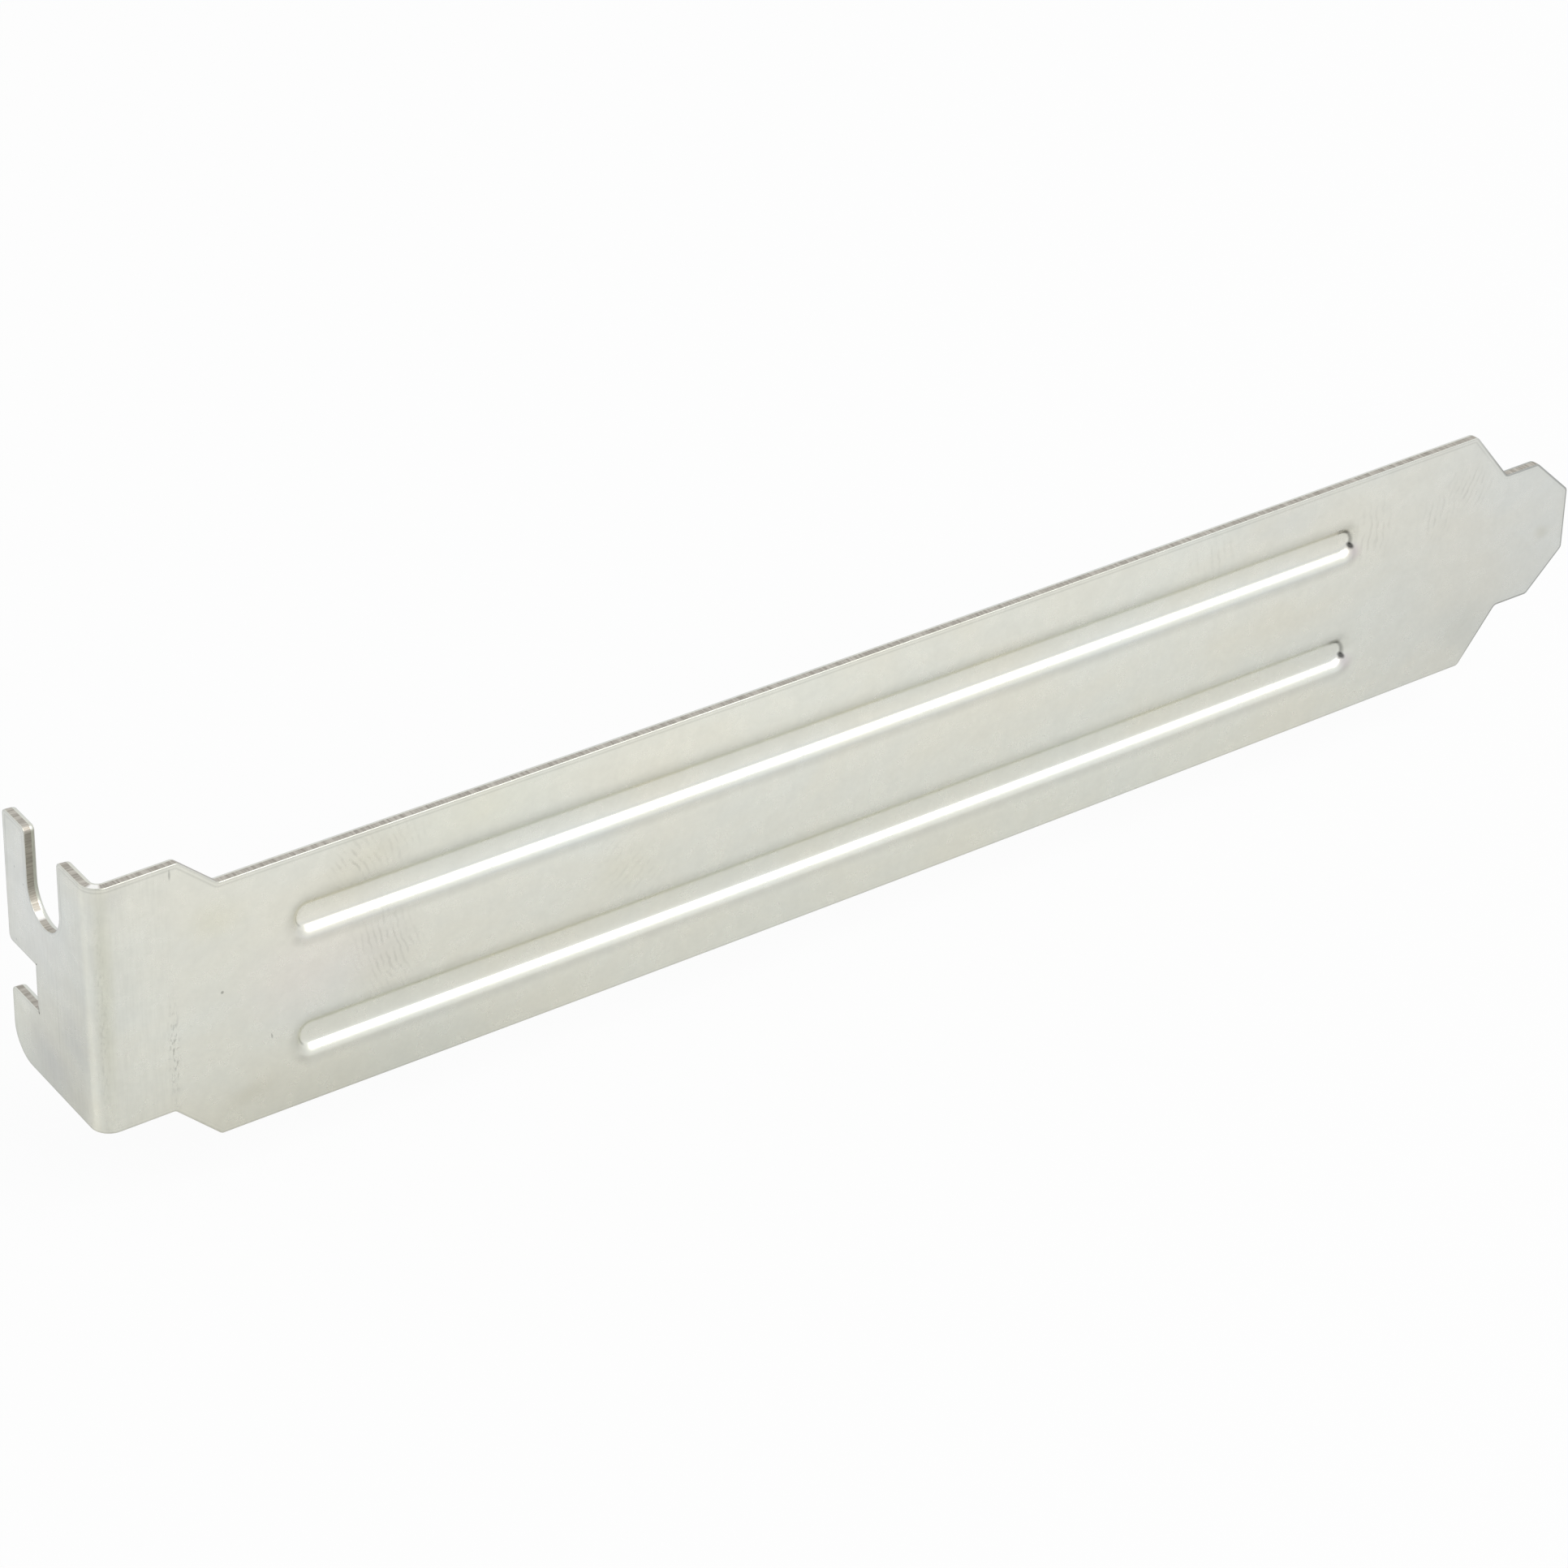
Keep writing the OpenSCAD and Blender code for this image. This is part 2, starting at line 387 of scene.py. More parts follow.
def shearProfile():
    # The cut edge as (outward, into the thickness), from the case face round to the
    # other: the face rises to the burr, a quarter circle turns into the torn band,
    # and a quarter ellipse rolls over to the far face.
    inset, sheet, lean = shear["inset"], blank["sheet"], shear["tornLean"]
    crest, rise, torn = shear["burrRound"], shear["burrRise"], shear["tornTo"]
    angle = np.linspace(0, math.pi / 2, shear["rollSteps"])
    burr = np.stack([
        inset - crest * (1 - np.sin(angle)),
        crest * (1 - np.cos(angle)) - rise * np.cos(angle)], -1)
    roll = np.stack([
        inset - lean - shear["rollReach"] * (1 - np.cos(angle)),
        torn + (sheet - torn) * np.sin(angle)], -1)
    face = [(shear["faceStart"], 0), (inset - shear["burrReach"], -rise * shear["riseStart"])]
    return np.vstack([face, burr, roll])


def makeCover():
    # Two faces from the grid and, round every cut edge, the shear profile carried
    # along the outline, all folded together
    points, quads = sheetGrid(shear["inset"])
    count = len(points)
    start, end = quads.ravel(), np.roll(quads, -1, 1).ravel()
    border = ~np.isin(start * count + end, end * count + start)
    start, end = start[border], end[border]
    following, leading = np.zeros(count, int), np.zeros(count, int)
    following[start], leading[end] = end, start
    edge = points[following[start]] - points[start]
    normal = np.stack([edge[:, 1], -edge[:, 0]], -1) / np.linalg.norm(edge, axis=1, keepdims=True)
    normalOf = np.zeros((count, 2))
    normalOf[start] = normal
    last = normalOf[leading[start]]
    outward = (normal + last) / (1 + (normal * last).sum(1))[:, None]

    profile = shearProfile()
    rings = points[start] + profile[:, :1, None] * outward
    ringCount, ringLength = rings.shape[:2]
    u = np.concatenate([points[:, 0], points[:, 0], rings[..., 0].ravel()])
    z = np.concatenate([points[:, 1], points[:, 1], rings[..., 1].ravel()])
    w = np.concatenate([
        np.zeros(count), np.full(count, blank["sheet"]), np.repeat(profile[:, 1], ringLength)])
    vertices = foldSheet(u, w, z) + [-blank["sheet"], -blank["slotOffset"], -slotRound]

    placeOf = np.zeros(count, int)
    placeOf[start] = np.arange(ringLength)
    ringPoints = 2 * count + np.arange(ringCount * ringLength).reshape(ringCount, -1)
    levels = np.vstack([start, ringPoints, start + count])
    nextOne = placeOf[end]
    band = np.stack([levels[:-1], levels[1:], levels[1:][:, nextOne], levels[:-1][:, nextOne]], -1)
    faces = np.vstack([quads, quads[:, ::-1] + count, band.reshape(-1, 4)])

    mesh = bpy.data.meshes.new("slotCover")
    mesh.from_pydata((vertices * millimetre).tolist(), [], faces.tolist())
    mesh.polygons.foreach_set("use_smooth", np.ones(len(faces), bool))
    # between the last point of the burr and the first of the roll lies the torn band
    isCut = np.arange(ringCount + 1) == shear["rollSteps"] + 2
    slots = np.concatenate([np.zeros(2 * len(quads), int), np.repeat(isCut.astype(int), ringLength)])
    mesh.polygons.foreach_set("material_index", slots)

    uv = mesh.uv_layers.new(name="sheetPlan")
    loops = np.zeros(len(mesh.loops), int)
    mesh.loops.foreach_get("vertex_index", loops)
    uv.data.foreach_set("uv", np.stack([u + foldOuter, z], -1)[loops].ravel() * planUnit)
    fromEdge = edgeDistance(points)
    reach = np.maximum(fromEdge[start] - profile[:, :1], 0).ravel()
    values = {
        "thickness": w / blank["sheet"],
        "edgeDistance": np.concatenate([fromEdge, fromEdge, reach]),
    }
    for name, value in values.items():
        attribute = mesh.attributes.new(name, "FLOAT", "POINT")
        attribute.data.foreach_set("value", value.astype(np.float32))
    mesh.update()
    mesh.validate()
    cover = bpy.data.objects.new("slotCover", mesh)
    bpy.context.scene.collection.objects.link(cover)
    print("slot cover:", len(vertices), "points,", len(faces), "faces")
    return cover


def addNode(tree, kind, inputs=None, **settings):
    node = tree.nodes.new(kind)
    for name, value in settings.items():
        setattr(node, name, value)
    for name, value in (inputs or {}).items():
        if isinstance(value, bpy.types.NodeSocket):
            tree.links.new(value, node.inputs[name])
        else:
            node.inputs[name].default_value = value
    return node


def calc(tree, operation, *values):
    return addNode(tree, "ShaderNodeMath", dict(enumerate(values)), operation=operation).outputs[0]


def calcVector(tree, operation, *values):
    inputs = dict(enumerate(values))
    if operation == "SCALE":
        inputs["Scale"] = inputs.pop(1)
    node = addNode(tree, "ShaderNodeVectorMath", inputs, operation=operation)
    return node.outputs["Value" if operation in ("LENGTH", "DISTANCE") else "Vector"]


def ramp(tree, value, low, high, toLow=0.0, toHigh=1.0):
    # eased from toLow to toHigh as the value goes from low to high
    return addNode(tree, "ShaderNodeMapRange", {
        "Value": value, "From Min": low, "From Max": high, "To Min": toLow, "To Max": toHigh,
    }, interpolation_type="SMOOTHSTEP").outputs["Result"]


def blendColour(tree, share, first, second, mode="MIX"):
    mix = addNode(tree, "ShaderNodeMix", {0: share, 6: first, 7: second}, data_type="RGBA", blend_type=mode)
    return mix.outputs[2]


def noise(tree, place, scale, detail=2.0, rough=0.5, warp=0.0):
    return addNode(tree, "ShaderNodeTexNoise", {
        "Vector": place, "Scale": scale, "Detail": detail, "Roughness": rough, "Distortion": warp,
    }).outputs["Fac"]


def attribute(tree, name):
    return addNode(tree, "ShaderNodeAttribute", attribute_name=name).outputs["Fac"]


farLayer = 37.0  # how far off the far face's layer of every pattern lies


def combine(tree, **parts):
    return addNode(tree, "ShaderNodeCombineXYZ", parts).outputs[0]


def sheetPlace(tree):
    # millimetres along and across the blank; the far face reads another layer
    plan = addNode(tree, "ShaderNodeUVMap", uv_map="sheetPlan").outputs["UV"]
    far = calc(tree, "GREATER_THAN", attribute(tree, "thickness"), 0.5)
    layer = combine(tree, Z=calc(tree, "MULTIPLY", far, farLayer))
    return calcVector(tree, "MULTIPLY_ADD", plan, fromPlan, layer)


def turnedPlace(tree, centre, angle):
    # the place on the sheet seen from a patch's middle and turned by its angle
    return addNode(tree, "ShaderNodeVectorRotate", {
        "Vector": calcVector(tree, "SUBTRACT", sheetPlace(tree), centre),
        "Center": (0, 0, 0), "Axis": (0, 0, 1), "Angle": angle}, rotation_type="AXIS_ANGLE").outputs[0]


def newGroup(name, inputs, outputs):
    tree = bpy.data.node_groups.new(name, "ShaderNodeTree")
    for label, value in inputs.items():
        kind = "NodeSocketVector" if isinstance(value, tuple) else "NodeSocketFloat"
        socket = tree.interface.new_socket(label, in_out="INPUT", socket_type=kind)
        socket.default_value = value
    for label, kind in outputs.items():
        tree.interface.new_socket(label, in_out="OUTPUT", socket_type=kind)
    return tree, tree.nodes.new("NodeGroupInput").outputs, tree.nodes.new("NodeGroupOutput").inputs


def placeGroup(tree, group, **values):
    return addNode(tree, "ShaderNodeGroup", values, node_tree=group).outputs


def cloudGroup():
    # soft patches: how big they are in millimetres, and how far one runs into the next
    tree, given, result = newGroup(
        "platingCloud", {"Size": 5.0, "Stretch": 1.0, "Seed": 0.0, "Edge": 0.25},
        {"Cloud": "NodeSocketFloat"})
    shift = combine(tree, Y=given["Seed"], Z=given["Seed"])
    squeeze = combine(tree, X=calc(tree, "DIVIDE", 1.0, given["Stretch"]), Y=1.0, Z=1.0)
    place = calcVector(tree, "MULTIPLY_ADD", sheetPlace(tree), squeeze, shift)
    value = noise(tree, place, calc(tree, "DIVIDE", 1.0, given["Size"]), detail=4.0, rough=0.55, warp=0.3)
    low, high = calc(tree, "SUBTRACT", 0.5, given["Edge"]), calc(tree, "ADD", 0.5, given["Edge"])
    tree.links.new(ramp(tree, value, low, high), result["Cloud"])
    return tree


def grainGroup():
    # fine relief of rolled and plated sheet: short lines across the sheet over
    # small round pits
    tree, given, result = newGroup(
        "rolledGrain", {"Line": 0.1, "Run": 2.4, "Pit": 0.22}, {"Height": "NodeSocketFloat"})
    place = sheetPlace(tree)
    stretch = combine(tree, X=calc(tree, "DIVIDE", 1.0, given["Line"]),
                      Y=calc(tree, "DIVIDE", 1.0, given["Run"]), Z=1.0)
    lines = noise(tree, calcVector(tree, "MULTIPLY", place, stretch), 1.0, detail=2.0)
    pits = noise(tree, place, calc(tree, "DIVIDE", 1.0, given["Pit"]), detail=3.0, rough=0.6)
    both = calc(tree, "ADD", calc(tree, "MULTIPLY", lines, 0.45), calc(tree, "MULTIPLY", pits, 0.55))
    tree.links.new(both, result["Height"])
    return tree


def spotGroup():
    # a soft-edged oval on the case side
    tree, given, result = newGroup(
        "sheetSpot", {"Middle": (0, 0, 0), "Long": 1.0, "Wide": 1.0, "Turn": 0.0, "Soft": 0.5},
        {"Spot": "NodeSocketFloat"})
    turned = turnedPlace(tree, given["Middle"], given["Turn"])
    size = combine(tree, X=given["Long"], Y=given["Wide"], Z=1.0)
    away = calcVector(tree, "LENGTH", calcVector(tree, "DIVIDE", turned, size))
    inner = calc(tree, "SUBTRACT", 1.0, given["Soft"])
    tree.links.new(ramp(tree, away, inner, 1.0, 1.0, 0.0), result["Spot"])
    return tree


def chatterGroup():
    # curved strokes side by side, as a jumping tool leaves them: a wave across the
    # turned place, swayed and broken up by the two values given
    tree, given, result = newGroup(
        "chatterMarks",
        {"Middle": (0, 0, 0), "Turn": 0.0, "Pitch": 0.55, "Curve": 0.06, "Sway": 0.5, "Broken": 1.0},
        {"Strokes": "NodeSocketFloat"})
    place = turnedPlace(tree, given["Middle"], given["Turn"])
    part = addNode(tree, "ShaderNodeSeparateXYZ", {0: place}).outputs
    bent = calc(tree, "MULTIPLY_ADD", calc(tree, "MULTIPLY", part["Y"], part["Y"]), given["Curve"], part["X"])
    turns = calc(tree, "ADD", calc(tree, "DIVIDE", bent, given["Pitch"]), given["Sway"])
    wave = calc(tree, "SINE", calc(tree, "MULTIPLY", turns, 2 * math.pi))
    strokes = calc(tree, "MULTIPLY", ramp(tree, wave, -0.2, 1.0), given["Broken"])
    tree.links.new(strokes, result["Strokes"])
    return tree


def ribGroup():
    # where a place lies about the middle line of the nearer rib: how far, and how
    # far up or towards the far end as shares of that distance
    tree, given, result = newGroup("ribPlace", {}, {
        "Distance": "NodeSocketFloat", "Up": "NodeSocketFloat", "Along": "NodeSocketFloat"})
    part = addNode(tree, "ShaderNodeSeparateXYZ", {0: sheetPlace(tree)}).outputs
    ribEnd = ribs["start"] + ribs["run"]
    held = calc(tree, "MINIMUM", calc(tree, "MAXIMUM", part["X"], ribs["start"]), ribEnd)
    beyond = calc(tree, "SUBTRACT", part["X"], held)
    height = calc(tree, "SUBTRACT", part["Y"], middle - ribs["drop"])
    nearest = calc(tree, "MULTIPLY", calc(tree, "SIGN", height), ribs["spacing"] / 2)
    above = calc(tree, "SUBTRACT", height, nearest)
    distance = calcVector(tree, "LENGTH", combine(tree, X=beyond, Y=above))
    tree.links.new(distance, result["Distance"])
    tree.links.new(calc(tree, "DIVIDE", above, distance), result["Up"])
    tree.links.new(calc(tree, "DIVIDE", beyond, distance), result["Along"])
    return tree


def streakGroup():
    # marks that run straight through the thickness, by the place along the cut
    tree, given, result = newGroup(
        "shearStreaks", {"Width": 0.12, "Seed": 0.0}, {"Streak": "NodeSocketFloat"})
    plan = addNode(tree, "ShaderNodeUVMap", uv_map="sheetPlan").outputs["UV"]
    place = calcVector(tree, "MULTIPLY_ADD", plan, fromPlan, combine(tree, Z=given["Seed"]))
    scale = calc(tree, "DIVIDE", 1.0, given["Width"])
    tree.links.new(noise(tree, place, scale, detail=3.0, rough=0.6), result["Streak"])
    return tree


def newMaterial(name):
    material = bpy.data.materials.new(name)
    material.use_nodes = True
    material.node_tree.nodes.clear()
    return material, material.node_tree


# Bright plating over cold-rolled steel: places and sizes in millimetres on the blank
plating = {
    "warm": (0.765, 0.752, 0.675, 1),
    "cool": (0.742, 0.752, 0.705, 1),
    "cloudSize": 9.0,
    "mottleSize": 1.6,
    "mottleShade": 0.05,
    "speckleSize": 0.42,
    "speckleShade": 0.032,
    "roughness": 0.29,
    "roughnessSpread": 0.08,
    "grainDepth": 0.0008,
    "strokeDepth": 0.03,
    "level": (1.10, 1.10, 1.08),
    # broad patches of tone: painted shade, painted highlight and painted reflection tint
    # (a darker lower band and right end, a lighter top band, a bluish flange that is
    # darker below, a light and a dark strip along the bend), darker spots at the far
    # rib ends, and random tone of the plating: middle along and across, half length,
    # half height, turn, and how much redder, greener and bluer the metal is in the middle
    "paintedShadeAndTones": [
        (17.0, 0.0, 25.0, 6.0, 0.0, -0.115, -0.12, -0.135),
        (126.0, 9.0, 42.0, 60.0, 0.0, -0.125, -0.12, -0.08),
        (47.0, 17.4, 27.0, 4.5, 0.0, 0.04, 0.035, 0.02),
        (-7.5, 15.0, 8.0, 8.5, 0.0, 0.02, 0.03, 0.085),
        (-6.2, 5.0, 4.4, 3.0, 0.0, -0.10, -0.095, -0.05),
        (-9.2, 7.6, 2.0, 1.4, 0.0, 0.09, 0.09, 0.10),
        (-2.6, 8.6, 2.6, 2.6, 0.0, -0.09, -0.085, -0.055),
        (-10.5, 5.0, 3.6, 4.5, 0.0, 0.07, 0.07, 0.06),
        (8.5, 15.8, 3.0, 2.2, 0.2, -0.035, -0.045, -0.09),
        (19.4, 16.4, 5.0, 3.4, -0.5, -0.05, -0.065, -0.10),
        (20.3, 9.6, 4.2, 5.2, -0.2, -0.05, -0.06, -0.05),
        (15.0, 9.6, 7.0, 5.0, 0.0, 0.01, -0.012, 0.02),
        (92.0, 9.2, 9.0, 3.2, 0.0, 0.0, -0.02, -0.05),
        (93.0, 17.2, 8.0, 2.6, 0.0, -0.05, -0.05, -0.04),
        (28.0, 17.0, 10.0, 3.0, 0.0, 0.0, 0.0, -0.035),
        (39.0, 8.8, 5.0, 2.6, 0.0, -0.02, -0.02, -0.04),
        (111.0, 3.2, 4.0, 3.2, 0.4, -0.06, -0.055, -0.055),
        (117.9, 8.7, 1.1, 0.8, 0.4, -0.07, -0.08, -0.11),
        (10.5, 2.2, 2.6, 1.1, -0.2, -0.07, -0.075, -0.09),
        (1.5, 19.8, 1.3, 1.1, 0.0, -0.08, -0.08, -0.07),
        (-0.33, 9.0, 0.55, 60.0, -0.023, 0.10, 0.095, 0.075),
        (0.72, 13.5, 0.95, 14.0, 0.0, -0.09, -0.095, -0.15),
        (1.6, 14.0, 1.7, 16.0, 0.0, -0.03, -0.03, -0.03),
        (4.0, 9.0, 4.0, 5.5, 0.0, 0.04, 0.04, 0.04),
        (-0.7, 4.2, 1.3, 5.0, 0.0, 0.12, 0.115, 0.10),
        (99.95, 12.7, 0.9, 0.9, 0.0, -0.13, -0.19, -0.15),
        (99.95, 3.9, 0.9, 0.9, 0.0, -0.13, -0.19, -0.15),
    ],
    # chatter: middle along and across, half length, half height, turn, pitch, curve,
    # strength
    "chatter": [
        (18.6, 16.5, 2.8, 2.3, -0.55, 0.45, 0.04, 0.16),
        (21.8, 16.7, 2.8, 2.0, -0.3, 0.5, 0.05, 0.09),
        (20.7, 9.4, 3.6, 4.8, -0.3, 0.45, -0.03, 0.13),
        (39.0, 8.8, 5.0, 2.6, 0.9, 0.6, 0.08, 0.06),
        (101.5, 13.6, 2.8, 3.6, 0.05, 0.6, 0.05, 0.10),
        (110.6, 14.6, 3.2, 2.1, 0.5, 0.5, 0.05, 0.13),
        (107.6, 13.2, 2.4, 2.8, 0.15, 0.55, 0.05, 0.09),
        (87.0, 16.4, 3.4, 2.2, -0.2, 0.6, 0.04, 0.07),
    ],
    # small dark marks: along, across, half length, half height, turn, strength
    "marks": [
        (8.8, 10.4, 0.15, 0.15, 0.0, 0.45),
        (12.2, 5.9, 0.09, 0.3, -0.2, 0.30),
        (5.45, 20.15, 0.11, 0.5, 0.0, 0.30),
        (-4.6, 8.5, 0.1, 5.0, 0.0, 0.06),
        (-9.6, 17.2, 0.11, 0.13, 0.0, 0.22),
        (-8.5, 16.5, 0.1, 0.1, 0.0, 0.25),
        (-9.95, 11.7, 0.12, 0.12, 0.0, 0.2),
        # the last two darken the foot at the far end of each rib
        (99.78, 13.15, 0.34, 0.26, 0.9, 0.75),
        (99.78, 4.34, 0.34, 0.26, 0.9, 0.75),
    ],
    # stroke noise of the chatter: how far it sways and at what scale, and how it breaks up
    "sway": 1.3,
    "swayScale": 0.8,
    "brokenScale": (1.7, 0.8, 1),
    "brokenRange": (0.36, 0.6),
    # fine lines up the neck, and flecks along the crease and the bend, each row as
    # middle along and across, half length, half height and strength
    "neckEnd": 6.0,
    "neckLines": 0.035,
    "neckScale": (4.5, 0.4, 1),
    "neckRange": (0.35, 0.7),
    "fleckScale": (6.0, 1.9, 1),
    "fleckRange": (0.48, 0.66),
    "creaseFlecks": (5.3, 7.4, 0.6, 5.4, 0.3),
    "bendFlecks": (0.45, 11.0, 0.6, 13.0, 0.10),
    # darker lines round the ribs and the outline: painted shade above each upper lip and
    # round the near end, below the white band of each lower lip and below the burr's
    # bright line, and a darker line at the foot of each far end: distance from the
    # rib's middle line (from the cut for the outline), how far they spread inwards and
    # outwards, and strength
    "upperLipShade": (1.15, 0.3, 1.1, 0.11),
    "lowerLipShade": (1.58, 0.24, 0.7, 0.14),
    "farEndDark": (0.84, 0.16, 0.22, 0.45),
    "nearEndShade": (0.87, 0.1, 0.14, 0.3),
    "edgeRootShade": (0.30, 0.08, 0.14, 0.13),
    # the painted shade below the burr's line lies mostly along the top, and the painted
    # shade over the burr is darkest on the tab, both by the place where they start to
    # change and where they have
    "topEdge": (15.0, 18.0, 0.2, 1.0),
    "burrFade": (0.06, 0.2, 1.0, 0.0),
    "burrShade": 0.12,
    "tabBurrShade": 0.42,
    "tabFrom": (110.0, 113.5),
    # where each line fades in or out round a rib, by the shares of its distance that
    # lie up and along
    "fades": {
        "upper": (-0.1, 0.5), "back": (-0.1, -0.7), "front": (0.2, 0.8, 1.0, 0.0),
        "lower": (-0.5, -0.9), "farAlong": (0.0, 0.35), "farUp": (-0.45, -0.15),
        "nearAlong": (-0.5, -0.8), "nearUp": (0.2, -0.1),
    },
}


def darkenedLine(tree, value, line):
    # full at the line's place and eased away to both sides of it
    place, inward, outward, strength = line
    rise = ramp(tree, value, place - inward, place, 0.0, strength)
    return calc(tree, "MULTIPLY", rise, ramp(tree, value, place, place + outward, 1.0, 0.0))


def ribShadeLines(tree, groups, shade):
    # painted shade beside the ribs and round their near ends, and a darker line at the
    # foot of each far end, each on its own stretch of the way round
    rib, fades = placeGroup(tree, groups["rib"]), plating["fades"]
    up, beyond = rib["Up"], rib["Along"]
    above = calc(tree, "MAXIMUM", ramp(tree, up, *fades["upper"]), ramp(tree, beyond, *fades["back"]))
    shares = {
        "upperLipShade": calc(tree, "MULTIPLY", above, ramp(tree, beyond, *fades["front"])),
        "lowerLipShade": ramp(tree, up, *fades["lower"]),
        "farEndDark": calc(tree, "MULTIPLY", ramp(tree, beyond, *fades["farAlong"]),
                          ramp(tree, up, *fades["farUp"])),
        "nearEndShade": calc(tree, "MULTIPLY", ramp(tree, beyond, *fades["nearAlong"]),
                           ramp(tree, up, *fades["nearUp"])),
    }
    for line, share in shares.items():
        darkened = darkenedLine(tree, rib["Distance"], plating[line])
        shade = calc(tree, "MULTIPLY_ADD", darkened, share, shade)
    return shade


def edgeRootShades(tree, part, shade):
    # painted shade along the outline: a line below the burr's bright line, and over the burr itself
    edge = attribute(tree, "edgeDistance")
    topEdge = ramp(tree, part["Y"], *plating["topEdge"])
    shade = calc(tree, "MULTIPLY_ADD", darkenedLine(tree, edge, plating["edgeRootShade"]), topEdge, shade)
    darkening = ramp(tree, part["X"], *plating["tabFrom"], plating["burrShade"], plating["tabBurrShade"])
    return calc(tree, "MULTIPLY_ADD", ramp(tree, edge, *plating["burrFade"]), darkening, shade)


def finelyMarked(tree, place, part, spot, shade):
    # lines up the neck, flecks along the crease and the bend, and the small marks
    lines = noise(tree, calcVector(tree, "MULTIPLY", place, plating["neckScale"]), 1.0, detail=3.0, rough=0.6)
    neck = ramp(tree, part["X"], plating["neckEnd"] - 1, plating["neckEnd"], plating["neckLines"], 0.0)
    shade = calc(tree, "MULTIPLY_ADD", ramp(tree, lines, *plating["neckRange"]), neck, shade)
    flecks = noise(tree, calcVector(tree, "MULTIPLY", place, plating["fleckScale"]), 1.0, rough=0.6)
    flecks = ramp(tree, flecks, *plating["fleckRange"])
    for row in (plating["creaseFlecks"], plating["bendFlecks"]):
        share = calc(tree, "MULTIPLY", spot(row[:4] + (0.0,)), row[4])
        shade = calc(tree, "MULTIPLY_ADD", flecks, share, shade)
    for row in plating["marks"]:
        shade = calc(tree, "MULTIPLY_ADD", spot(row[:5], 0.7), row[5], shade)
    return shade


def chatterStrokes(tree, groups, place, spot):
    # all the patches of chatter together; they share their sway and their gaps
    sway = calc(tree, "MULTIPLY", noise(tree, place, plating["swayScale"]), plating["sway"])
    gaps = noise(tree, calcVector(tree, "MULTIPLY", place, plating["brokenScale"]), 1.0)
    broken = ramp(tree, gaps, *plating["brokenRange"])
    strokes = 0.0
    for row in plating["chatter"]:
        drawn = placeGroup(tree, groups["chatter"], Middle=row[:2] + (0,), Turn=row[4], Pitch=row[5],
                           Curve=row[6], Sway=sway, Broken=broken)["Strokes"]
        share = calc(tree, "MULTIPLY", spot(row[:5]), row[7])
        strokes = calc(tree, "MULTIPLY_ADD", drawn, share, strokes)
    return strokes


def platedSteel(groups):
    material, tree = newMaterial("platedSteel")
    place = sheetPlace(tree)
    part = addNode(tree, "ShaderNodeSeparateXYZ", {0: place}).outputs

    def spot(row, soft=1.0):
        along, across, long, wide, turn = row
        return placeGroup(tree, groups["spot"], Middle=(along, across, 0), Long=long, Wide=wide,
                          Turn=turn, Soft=soft)["Spot"]

    def cloud(size, **values):
        return placeGroup(tree, groups["cloud"], Size=plating[size], **values)["Cloud"]

    # colour: warm and cool clouds, and the broad patches of tone and painted shade,
    # highlight and reflection over the metal's level
    tint = cloud("cloudSize", Stretch=1.6, Edge=0.22)
    mottle = cloud("mottleSize", Seed=11.0, Edge=0.3)
    speckle = cloud("speckleSize", Seed=23.0, Edge=0.3)
    colour = blendColour(tree, tint, plating["warm"], plating["cool"])
    # the patches paint shade, highlight and reflection tint as well as tone
    paintedShadeAndTones = plating["level"]
    for row in plating["paintedShadeAndTones"]:
        paintedShadeAndTones = calcVector(tree, "MULTIPLY_ADD", spot(row[:5]), row[5:], paintedShadeAndTones)
    # shade: mottling, painted shade beside the ribs and along the outline, marks and strokes
    shade = calc(tree, "ADD", calc(tree, "MULTIPLY", mottle, plating["mottleShade"]),
                 calc(tree, "MULTIPLY", speckle, plating["speckleShade"]))
    shade = edgeRootShades(tree, part, ribShadeLines(tree, groups, shade))
    shade = finelyMarked(tree, place, part, spot, shade)
    strokes = chatterStrokes(tree, groups, place, spot)
    light = calc(tree, "SUBTRACT", 1.0, calc(tree, "ADD", shade, strokes))
    colour = blendColour(tree, 1.0, colour, calcVector(tree, "SCALE", paintedShadeAndTones, light), "MULTIPLY")
    rough = calc(tree, "MULTIPLY_ADD", mottle, plating["roughnessSpread"],
                 plating["roughness"] - plating["roughnessSpread"] / 2)
    # relief: the grain, with the strokes pressed into it
    relief = addNode(tree, "ShaderNodeBump", {
        "Height": placeGroup(tree, groups["grain"])["Height"],
        "Distance": plating["grainDepth"] * millimetre, "Strength": 1.0})
    relief = addNode(tree, "ShaderNodeBump", {
        "Height": strokes, "Distance": plating["strokeDepth"] * millimetre, "Strength": 1.0,
        "Normal": relief.outputs[0]}, invert=True)
    shader = addNode(tree, "ShaderNodeBsdfPrincipled", {
        "Base Color": colour, "Metallic": 1.0, "Roughness": rough, "Normal": relief.outputs[0]})
    addNode(tree, "ShaderNodeOutputMaterial", {"Surface": shader.outputs["BSDF"]})
    return material


# Bare steel of the torn band, streaked through the thickness
sheared = {
    "dark": (0.33, 0.30, 0.26, 1),
    "light": (0.60, 0.565, 0.505, 1),
    "contrast": (0.36, 0.64),
    "roughness": 0.48,
    "roughnessSpread": 0.2,
    "streakWidth": 0.14,
    "streakDepth": 0.012,
    "fineShare": 0.4,
    # painted highlights on the cut: middle along and across, radius
    "glint": (0.95, 0.93, 0.9, 1),
    "glints": [(0.3, 20.8, 0.6), (-6.9, 15.05, 0.45)],
}


